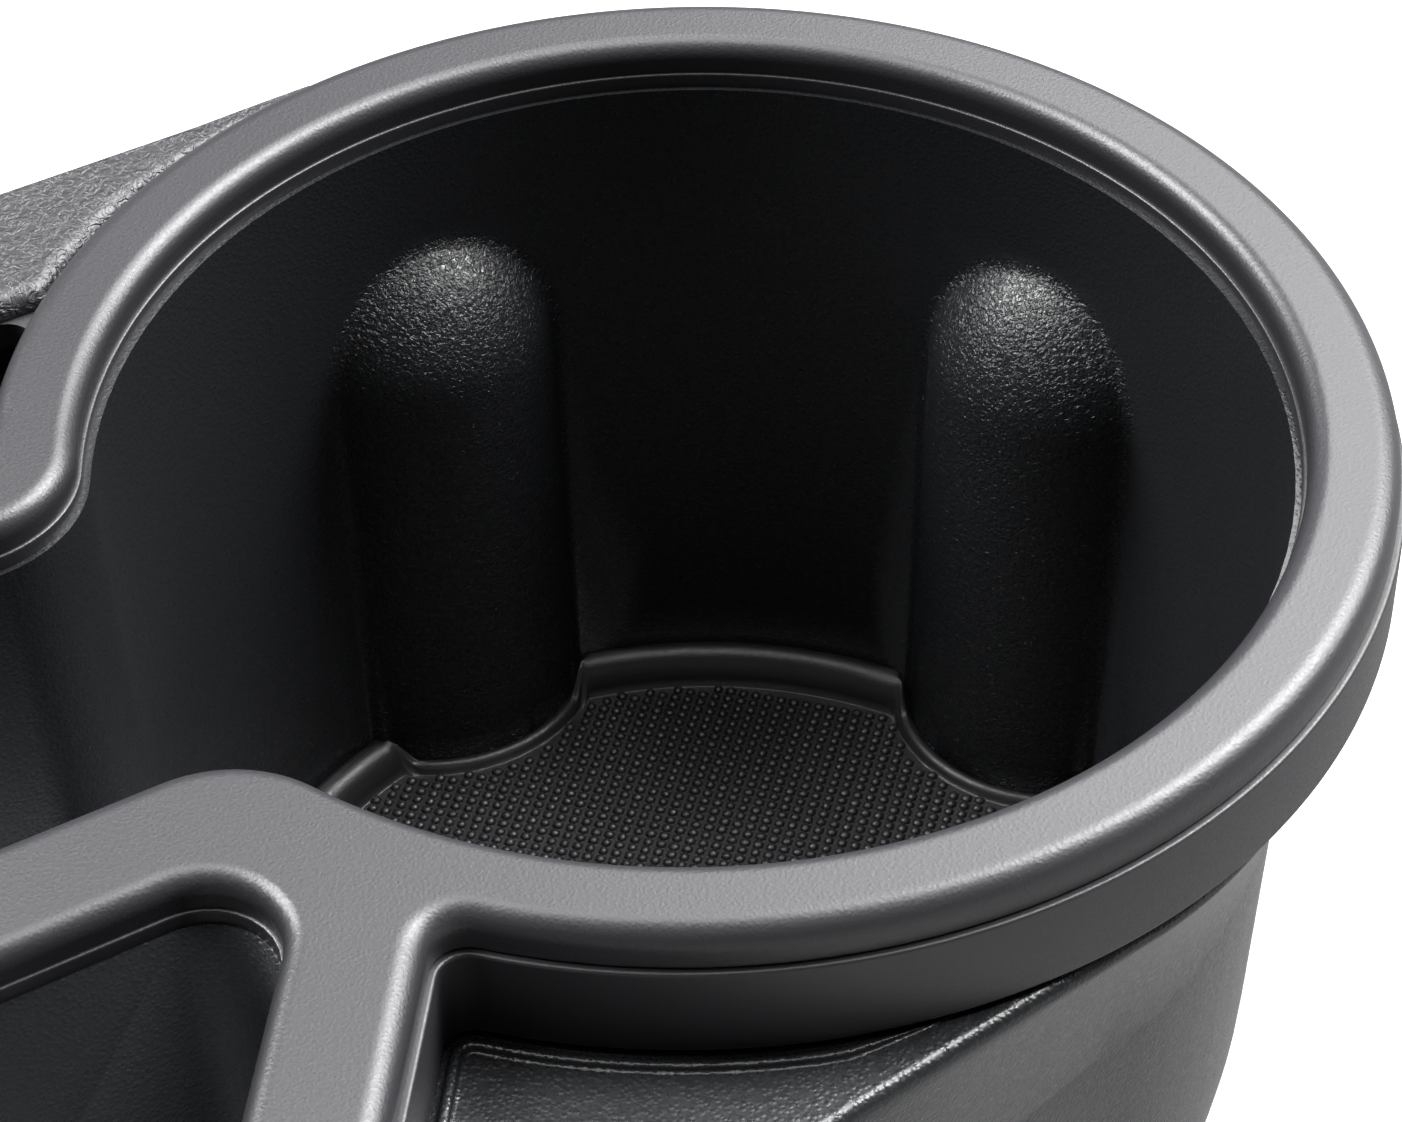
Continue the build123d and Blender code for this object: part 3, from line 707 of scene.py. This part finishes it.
def rail_parts():
    """Pad of the rail on the flange, softly rounded towards the slot."""
    line = outline(rail_arcs(), 0.6)
    facing = ease((-line[1][:, 1] - RAIL_FACING) / RAIL_FACING_RUN)
    rolls = RAIL_EDGE + (RAIL_ROLL - RAIL_EDGE) * facing
    hollow = (RIM_RADIUS + RAIL_GAP) ** 2 - (CUP_X - np.abs(line[0][:, 0])) ** 2
    room = FRAME_RADIUS - np.sqrt(np.clip(hollow, SLOT_BACK ** 2, FRAME_RADIUS ** 2))
    rolls = np.minimum(rolls, RAIL_ROOM * room)
    rows = [(np.zeros(len(rolls)), FLANGE_BOTTOM + WALL / 2)]
    for angle in np.radians(np.linspace(0, 90, 13)):
        rows.append((-rolls * (1 - math.cos(angle)), RAIL_TOP - rolls * (1 - math.sin(angle))))
    rows.append((-RAIL_FLAT * rolls, RAIL_TOP))
    return [sweep(line, rows), land([shifted(line, rows[-1][0])], RAIL_TOP),
            land([line[0]], FLANGE_BOTTOM + WALL / 2)]


def mat_gaps(points):
    """Distance of each point of a mat's plan from the wall and from the nearest rib."""
    wall = MAT_RADIUS - np.linalg.norm(points, axis=1)
    ribs = [np.linalg.norm(points - RIB_REACH * ray(angle), axis=1) - RIB_FOOT for angle in RIB_ANGLES]
    return wall, np.min(ribs, axis=0)


def crest(gap, top, width, foot):
    """Section of a rounded rim: a round shoulder outside, a crest, and a quarter of an ellipse down to the face."""
    shoulder = np.clip(1 - gap / LIP_ROLL, 0, 1)
    outside = 1 - (1 - np.sqrt(np.clip(1 - shoulder ** 2, 0, 1))) * LIP_ROLL / top
    down = np.clip((gap - width) / (foot - width), 0, 1)
    return top * outside * np.sqrt(1 - down * down)


def mat_parts(side):
    """One mat: a face with a raised lip at the wall, a low border round each rib, and a rounded foot."""
    lip_top = MAT_HIGH[2] - FLOOR - MAT_FACE
    angles = np.radians(np.arange(0, 360, MAT_TURN))
    rays = np.column_stack([np.cos(angles), np.sin(angles)])
    low, high = np.zeros(len(rays)), np.full(len(rays), WELL_RADIUS)
    for _ in range(HALVINGS):
        middle = (low + high) / 2
        wall, rib = mat_gaps(rays * middle[:, None])
        free = np.minimum(wall, rib) > 0
        low, high = np.where(free, middle, low), np.where(free, high, middle)
    edge = low
    steps = np.concatenate([np.linspace(0, LIP_FOOT + LIP_PAST, LIP_ROWS), FACE_ROWS])
    rows = [rays * (edge - step)[:, None] for step in steps]
    inner = edge - steps[-1]
    rows += [rays * (inner * share)[:, None] for share in CENTRE_ROWS]
    verts = []
    for row in rows:
        wall, rib = mat_gaps(row)
        lip = crest(np.clip(wall, 0, None), lip_top, LIP_WIDTH, LIP_FOOT)
        border = crest(np.clip(rib, 0, None), BORDER_TOP, BORDER_WIDTH, BORDER_FOOT)
        lip = lip * ease(rib / LIP_END)
        verts.append(np.column_stack([row, MAT_FACE + np.maximum(lip, border)]))
    foot = [np.column_stack([rays * edge[:, None], np.full(len(rays), MAT_EDGE)]),
            np.column_stack([rays * (edge - MAT_EDGE)[:, None], np.zeros(len(rays))])]
    grid = np.concatenate(foot[::-1] + verts)
    count = len(rays)
    rows_made = len(foot) + len(verts)
    faces = grid_faces(rows_made, count, True)
    grid = np.concatenate([grid, [(0, 0, MAT_FACE), (0, 0, 0)]])
    last = (rows_made - 1) * count
    faces += [(len(grid) - 2, last + j, last + (j + 1) % count) for j in range(count)]
    faces += [(len(grid) - 1, (j + 1) % count, j) for j in range(count)]
    grid = grid * (side, 1, 1) + (side * CUP_X, 0, FLOOR - SEAM)
    if side < 0:
        faces = [tuple(reversed(face)) for face in faces]
    return [(grid, faces)]


def weave_tree():
    """Geometry nodes that set small pillows in diagonal rows on a mat, clear of its lip and of the ribs' borders."""
    tree = bpy.data.node_groups.new("woven_bumps", "GeometryNodeTree")
    sockets = {"Geometry": "Geometry", "Pitch along": "Float", "Pitch across": "Float", "Reach": "Float",
               "Rib gap": "Float", "Turn": "Float", "Centre": "Vector", "Bump": "Vector", "Rib 1": "Vector",
               "Rib 2": "Vector", "Rib 3": "Vector", "Material": "Material"}
    for name, kind in sockets.items():
        tree.interface.new_socket(name, in_out="INPUT", socket_type="NodeSocket" + kind)
    tree.interface.new_socket("Geometry", in_out="OUTPUT", socket_type="NodeSocketGeometry")
    given = add(tree, "NodeGroupInput").outputs
    width = add(tree, MATHS, (given["Reach"], 2.0), operation="MULTIPLY")
    counts = []
    for name in ("Pitch along", "Pitch across"):
        steps = add(tree, MATHS, (width, given[name]), operation="DIVIDE")
        whole = add(tree, MATHS, (steps,), operation="ROUND")
        counts.append(add(tree, MATHS, (whole, 1.0), operation="ADD"))
    grid = add(tree, "GeometryNodeMeshGrid", {"Size X": width, "Size Y": width, "Vertices X": counts[0],
                                              "Vertices Y": counts[1]})
    turn = add(tree, "ShaderNodeCombineXYZ", {"Z": given["Turn"]})
    field = add(tree, "GeometryNodeTransform", {"Geometry": grid, "Rotation": turn})
    place = add(tree, "GeometryNodeInputPosition")
    out = add(tree, VECTORS, (place,), operation="LENGTH").outputs["Value"]
    drop = add(tree, MATHS, (out, given["Reach"]), operation="GREATER_THAN")
    for name in ("Rib 1", "Rib 2", "Rib 3"):
        away = add(tree, VECTORS, (place, given[name]), operation="DISTANCE").outputs["Value"]
        near = add(tree, MATHS, (away, given["Rib gap"]), operation="LESS_THAN")
        drop = add(tree, MATHS, (drop, near), operation="MAXIMUM")
    field = add(tree, "GeometryNodeDeleteGeometry", {"Geometry": field, "Selection": drop})
    field = add(tree, "GeometryNodeTransform", {"Geometry": field, "Translation": given["Centre"]})
    pillow = add(tree, "GeometryNodeMeshUVSphere", {"Segments": 6, "Rings": 4, "Radius": 0.5})
    vary = add(tree, "FunctionNodeRandomValue", {0: 3 * (1 - WEAVE_VARY,), 1: 3 * (1 + WEAVE_VARY,), "Seed": 7},
               data_type="FLOAT_VECTOR")
    size = add(tree, VECTORS, (given["Bump"], vary), operation="MULTIPLY")
    bumps = add(tree, "GeometryNodeInstanceOnPoints", {"Points": field, "Instance": pillow, "Rotation": turn,
                                                       "Scale": size})
    joined = add(tree, "GeometryNodeJoinGeometry", {"Geometry": given["Geometry"]})
    tree.links.new(bumps.outputs[0], joined.inputs[0])
    real = add(tree, "GeometryNodeRealizeInstances", {"Geometry": joined})
    named = add(tree, "GeometryNodeSetMaterial", {"Geometry": real, "Material": given["Material"]})
    add(tree, "NodeGroupOutput", {"Geometry": named})
    return tree


def woven(mesh, tree, looks, side, material):
    """The same mat with its woven bumps, as a plain mesh."""
    along, across = [pitch * 1 * MM for pitch in (looks.weave_along, looks.weave_across)]
    bump = (WEAVE_LONG * along, WEAVE_WIDE * across, 2 * looks.weave_height * MM)
    values = {"Pitch along": along, "Pitch across": across, "Reach": (MAT_RADIUS - LIP_FOOT - WEAVE_GAP) * MM,
              "Rib gap": (RIB_FOOT + BORDER_FOOT + WEAVE_GAP) * MM, "Turn": math.radians(side * WEAVE_TURN),
              "Centre": (side * CUP_X * MM, CUP_Y * MM, (FLOOR + MAT_FACE) * MM), "Bump": bump, "Material": material}
    for i, angle in enumerate(RIB_ANGLES):
        x, y = RIB_REACH * ray(angle) * MM
        values["Rib " + str(i + 1)] = (side * x, y, 0.0)
    plain = bpy.data.objects.new(mesh.name, mesh)
    bpy.context.scene.collection.objects.link(plain)
    modifier = plain.modifiers.new("weave", "NODES")
    modifier.node_group = tree
    for item in tree.interface.items_tree:
        if item.in_out == "INPUT" and item.name in values:
            modifier[item.identifier] = values[item.name]
    plain.update_tag()
    graph = bpy.context.evaluated_depsgraph_get()
    made = bpy.data.meshes.new_from_object(plain.evaluated_get(graph))
    plain.modifiers.remove(modifier)
    bpy.data.objects.remove(plain)
    if len(made.vertices) <= len(mesh.vertices):
        raise RuntimeError("the weave added nothing to " + mesh.name)
    return made


def flare_part():
    """Skin of the wall that flares out under the skirt of the right cup, and of the deck's front edge beside it."""
    turn = math.radians(FLARE_ANGLE)
    line = outline([(CUP_X, 0, FLARE_RADIUS, FLARE_ANGLE - 90, FLARE_END)], closed=False)
    back = np.linspace(FLARE_RUN, 0, round(FLARE_RUN), endpoint=False)[:, None]
    run = line[0][0] - back * (math.cos(turn), math.sin(turn))
    points = np.concatenate([run, line[0]])
    normals = np.concatenate([np.tile(line[1][0], (len(run), 1)), line[1]])
    from_cup = points - (CUP_X, 0)
    aside = np.einsum("ij,ij->i", from_cup, np.column_stack([-normals[:, 1], normals[:, 0]]))
    hidden = np.sqrt((FRAME_RADIUS - SKIRT_WALL) ** 2 - aside ** 2) - FLARE_RADIUS
    angle = np.degrees(np.arctan2(from_cup[:, 1], from_cup[:, 0]))
    fade = FLARE_SIDE * ease((angle - FLARE_ANGLE + 90) / FLARE_SIDE_TURN)
    fade += FLARE_SINK * ease((angle - FLARE_END) / FLARE_SINK_TURN + 1)
    outside = WELL_RADIUS + WALL + DRAFT * FLARE_FOOT
    gap = FLARE_RADIUS - np.sqrt(outside ** 2 - aside ** 2)
    apron = ray(APRON_ANGLE - 90)
    to_apron = (from_cup @ apron - outside + APRON_INSET) / (normals @ apron)
    gap = np.where(angle < APRON_ANGLE - 90, np.minimum(gap, to_apron), gap)
    gap = np.maximum(gap, FLARE_LEAST) + BURIED
    top = DECK + DECK_SKIN
    rows = [(-gap - WALL / 2, top - WALL / 2), (hidden - fade, top - WALL / 2), (hidden - fade, top)]
    edge = roll(-FLARE_ROLL, top - FLARE_ROLL, FLARE_ROLL, 90, 0, 8)
    rows += [(out - fade, height) for out, height in edge]
    for down in np.linspace(0, 1, FLARE_ROWS + 1)[1:]:
        height = (1 - down) * (DECK - FLARE_ROLL) + down * FLARE_FOOT
        rows.append((-fade - (gap - fade) * (1 - (1 - down) ** 2), height))
    rows.append((-gap - WALL / 2, FLARE_FOOT))
    verts, faces = sweep((points, normals), rows + rows[:1], closed=False)
    away = verts[:, :2] - (CUP_X, 0)
    reach = np.linalg.norm(away, axis=1)
    least = WELL_RADIUS + WALL / 3 + DRAFT * verts[:, 2]
    verts[:, :2] += away * (np.maximum(least / reach, 1) - 1)[:, None]
    return verts, faces


def bead_part():
    """Rounded bead on the deck along the skirt's foot, from the nose to where the deck runs out."""
    front, start = front_arcs(FRAME_RADIUS - RIM_RADIUS)
    points, normals = outline(front + [(CUP_X, 0, FRAME_RADIUS, start, BEAD_END)], closed=False)
    left = np.clip((points[-1, 0] - points[:, 0]) / BEAD_FADE + BEAD_LEAST, 0, 1)
    size = BEAD_RADIUS * ease(left)
    middle = CLEARANCE + BEAD_MIDDLE * BEAD_RADIUS
    strip = CLEARANCE + BEAD_WIDTH + BEAD_SPARE + BEAD_INSET
    bed, top = DECK - BEAD_BED, DECK + BEAD_SKIN
    rows = [(BEAD_INSET, bed), (strip, bed), (strip, top)]
    rows += [(middle + size * math.cos(a), top + size * math.sin(a) * BEAD_RISE)
             for a in np.radians(np.linspace(0, 180, 10))]
    rows.append((BEAD_INSET, top))
    rows = [(left * (out + BEAD_HIDE) - BEAD_HIDE, height) for out, height in rows]
    return sweep((points, normals), rows + rows[:1], closed=False)


def tub_mesh():
    """The CAD's tub with its seams closed, the flared wall, and a round bead in place of the CAD's plain one."""
    mesh = mesh_of("tub_moulding", both(flare_part()) + both(bead_part()))
    shape = bmesh.new()
    shape.from_mesh(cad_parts["well_tub"].data)
    bmesh.ops.remove_doubles(shape, verts=shape.verts, dist=CAD_WELD * MM)
    bead = [vert for vert in shape.verts if abs(vert.co.z / MM - SEAM - DECK - BEAD_HEIGHT) < LEVEL
            and vert.co.y / MM - CUP_Y < POCKET_BACK]
    bmesh.ops.delete(shape, geom=bead, context="VERTS")
    shape.from_mesh(mesh)
    shape.to_mesh(mesh)
    shape.free()
    return mesh


def finish_node(name, material):
    """A material for a CAD node that keeps its own shape."""
    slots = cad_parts[name].data.materials
    slots.clear()
    slots.append(material)


class CUPHOLDER_PG_looks(bpy.types.PropertyGroup):
    """Colours and grain of the holder. Grain that is too fine to show is drawn as coarse as it needs to be."""
    trim_colour: FloatVectorProperty(name="Trim colour", description="Colour of the satin bezel",
                                     subtype="COLOR", default=linear("252528"), min=0, max=1)
    frame_colour: FloatVectorProperty(name="Frame colour", description="Colour of the frame and its rail",
                                      subtype="COLOR", default=linear("222225"), min=0, max=1)
    tub_colour: FloatVectorProperty(name="Tub colour", description="Colour of the well tub",
                                    subtype="COLOR", default=linear("1d1e20"), min=0, max=1)
    mat_colour: FloatVectorProperty(name="Mat colour", description="Colour of the rubber mats",
                                    subtype="COLOR", default=linear("222224"), min=0, max=1)
    screw_colour: FloatVectorProperty(name="Screw colour", description="Colour of the plated screws",
                                      subtype="COLOR", default=linear("8a8a8c"), min=0, max=1)
    trim_grain: FloatProperty(name="Trim grain", description="Width of a grain cell on the trim, in millimetres",
                              default=0.2, min=0.05, max=2)
    trim_depth: FloatProperty(name="Trim grain depth", description="Depth of the trim's grain, in millimetres",
                              default=0.014, min=0, max=0.2)
    wall_grain: FloatProperty(name="Wall grain", description="Width of a grain cell on the walls, in millimetres",
                              default=0.36, min=0.05, max=2)
    wall_depth: FloatProperty(name="Wall grain depth", description="Depth of the walls' grain, in millimetres",
                              default=0.022, min=0, max=0.2)
    rib_grain: FloatProperty(name="Rib grain", description="Width of a wrinkle on the ribs, in millimetres",
                             default=0.42, min=0.05, max=2)
    rib_depth: FloatProperty(name="Rib grain depth", description="Depth of the ribs' grain, in millimetres",
                             default=0.06, min=0, max=0.2)
    weave_along: FloatProperty(name="Weave along", description="Distance between bumps along a cord, in millimetres",
                               default=0.95, min=0.5, max=4)
    weave_across: FloatProperty(name="Weave across", description="Distance between cords of the mats, in millimetres",
                                default=1.12, min=0.5, max=4)
    weave_height: FloatProperty(name="Weave height", description="Height of a bump of the mats, in millimetres",
                                default=0.32, min=0.05, max=1)


class CUPHOLDER_OT_bezel(bpy.types.Operator):
    """Builds the rolled top trim"""
    bl_idname = "cupholder.bezel"
    bl_label = "Build bezel"

    def execute(self, context):
        looks = context.scene.cupholder
        mesh = mesh_of("bezel_trim", bezel_parts())
        finish_piece("bezel_trim", mesh, "rim_bezel", satin_abs(looks))
        return {"FINISHED"}


class CUPHOLDER_OT_frame(bpy.types.Operator):
    """Builds the skirted frame with its rail"""
    bl_idname = "cupholder.frame"
    bl_label = "Build frame"

    def execute(self, context):
        looks = context.scene.cupholder
        mesh = mesh_of("frame_moulding", frame_parts())
        finish_piece("frame_moulding", mesh, "support_frame", frame_plastic(looks))
        return {"FINISHED"}


class CUPHOLDER_OT_tub(bpy.types.Operator):
    """Builds the well tub with its flared wall"""
    bl_idname = "cupholder.tub"
    bl_label = "Build tub"

    def execute(self, context):
        plastic = grained_plastic(context.scene.cupholder)
        finish_piece("tub_moulding", tub_mesh(), "well_tub", plastic, TUB_SHARP)
        return {"FINISHED"}


class CUPHOLDER_OT_mats(bpy.types.Operator):
    """Builds both rubber mats"""
    bl_idname = "cupholder.mats"
    bl_label = "Build mats"

    def execute(self, context):
        looks = context.scene.cupholder
        rubber, tree = mat_rubber(looks), weave_tree()
        for side, name in ((1, "right"), (-1, "left")):
            mesh = woven(mesh_of(name + "_mat", mat_parts(side)), tree, looks, side, rubber)
            finish_piece(name + "_mat", mesh, name + "_cup_mat", rubber, MAT_SHARP)
        return {"FINISHED"}


class CUPHOLDER_OT_screws(bpy.types.Operator):
    """Finishes the screws"""
    bl_idname = "cupholder.screws"
    bl_label = "Finish screws"

    def execute(self, context):
        finish_node("tub_screws", plated_steel(context.scene.cupholder))
        return {"FINISHED"}


def set_floor(scene):
    """A pale floor: white paper to the camera that keeps the shadow, and a plain even level in reflections."""
    corners = [(x * FLOOR_HALF, y * FLOOR_HALF, 0) for x, y in ((-1, -1), (1, -1), (1, 1), (-1, 1))]
    mesh = bpy.data.meshes.new("floor")
    mesh.from_pydata(corners, [], [(0, 1, 2, 3)])
    floor = bpy.data.objects.new("floor", mesh)
    scene.collection.objects.link(floor)
    material, tree, _ = new_material("pale_floor")
    paper = add(tree, "ShaderNodeBsdfDiffuse", {"Color": linear("f2f2f2") + [1]})
    path = add(tree, "ShaderNodeLightPath").outputs
    seen = path["Is Camera Ray"]
    level = add(tree, MATHS, (seen, 1 - FLOOR_GLOSS, FLOOR_GLOSS), operation="MULTIPLY_ADD")
    white = add(tree, "ShaderNodeEmission", {"Strength": level})
    part = add(tree, MATHS, (seen, FLOOR_WHITE), operation="MULTIPLY")
    share = add(tree, MATHS, (part, path["Is Glossy Ray"]), operation="MAXIMUM")
    mixed = add(tree, "ShaderNodeMixShader", (share, paper, white))
    add(tree, "ShaderNodeOutputMaterial", (mixed,))
    mesh.materials.append(material)


def set_world(scene):
    """A little plain light from all round, and white behind the object."""
    world = bpy.data.worlds.new("studio")
    world.use_nodes = True
    tree = world.node_tree
    tree.nodes.clear()
    fill = add(tree, "ShaderNodeBackground", {"Color": (1, 1, 1, 1), "Strength": FILL})
    white = add(tree, "ShaderNodeBackground", {"Color": (1, 1, 1, 1), "Strength": 1.0})
    seen = add(tree, "ShaderNodeLightPath").outputs["Is Camera Ray"]
    add(tree, "ShaderNodeOutputWorld", (add(tree, "ShaderNodeMixShader", (seen, fill, white)),))
    scene.world = world


def set_lamps(scene):
    """Soft square lamps that face the middle of the right half."""
    target = Vector((CUP_X / 2, CUP_Y, SEAM)) * MM
    for name, (place, side, power) in LAMPS.items():
        lamp = bpy.data.lights.new(name, "AREA")
        lamp.shape, lamp.size, lamp.energy = "SQUARE", side, power
        made = bpy.data.objects.new(name, lamp)
        made.location = place
        made.rotation_euler = (target - Vector(place)).to_track_quat("-Z", "Y").to_euler()
        scene.collection.objects.link(made)


def set_camera(scene):
    """A camera at the photo's place and angle."""
    lens = bpy.data.cameras.new("photo")
    lens.sensor_width = SENSOR
    lens.lens = FOCAL_PIXELS * SENSOR / PHOTO_WIDTH
    lens.clip_start, lens.clip_end = 0.01, 20
    tilt, turn, lean = math.radians(VIEW_TILT), math.radians(VIEW_TURN), math.radians(VIEW_LEAN)
    ahead = Vector((math.sin(turn) * math.cos(tilt), math.cos(turn) * math.cos(tilt), -math.sin(tilt)))
    level = Vector((math.cos(turn), -math.sin(turn), 0))
    under = ahead.cross(level)
    right = math.cos(lean) * level + math.sin(lean) * under
    down = math.cos(lean) * under - math.sin(lean) * level
    place = Matrix((right, -down, -ahead)).transposed().to_4x4()
    place.translation = (Vector((CUP_X, CUP_Y, SEAM)) + WELL_RADIUS * Vector(VIEW_FROM_CUP)) * MM
    camera = bpy.data.objects.new("photo", lens)
    camera.matrix_world = place
    scene.collection.objects.link(camera)
    scene.camera = camera


class CUPHOLDER_OT_stage(bpy.types.Operator):
    """Sets the pale floor, the soft lamps and the camera"""
    bl_idname = "cupholder.stage"
    bl_label = "Set stage"

    def execute(self, context):
        context.scene.view_settings.view_transform = "Standard"
        for step in (set_floor, set_world, set_lamps, set_camera):
            step(context.scene)
        return {"FINISHED"}


class CUPHOLDER_PT_panel(bpy.types.Panel):
    """Looks of the cup holder"""
    bl_label = "Cup Holder"
    bl_idname = "CUPHOLDER_PT_panel"
    bl_space_type = "VIEW_3D"
    bl_region_type = "UI"
    bl_category = "Cup Holder"

    def draw(self, context):
        looks = context.scene.cupholder
        for name in CUPHOLDER_PG_looks.__annotations__:
            self.layout.prop(looks, name)
        for step in STEPS:
            self.layout.operator(step.bl_idname)


STEPS = (CUPHOLDER_OT_bezel, CUPHOLDER_OT_frame, CUPHOLDER_OT_tub, CUPHOLDER_OT_mats, CUPHOLDER_OT_screws,
         CUPHOLDER_OT_stage)
CLASSES = (CUPHOLDER_PG_looks,) + STEPS + (CUPHOLDER_PT_panel,)


def register():
    for kind in CLASSES:
        bpy.utils.register_class(kind)
    bpy.types.Scene.cupholder = PointerProperty(type=CUPHOLDER_PG_looks)


def unregister():
    del bpy.types.Scene.cupholder
    for kind in reversed(CLASSES):
        bpy.utils.unregister_class(kind)


def main():
    register()
    bpy.ops.cupholder.bezel()
    bpy.ops.cupholder.frame()
    bpy.ops.cupholder.tub()
    bpy.ops.cupholder.mats()
    bpy.ops.cupholder.screws()
    bpy.ops.cupholder.stage()


if __name__ == "__main__":
    main()
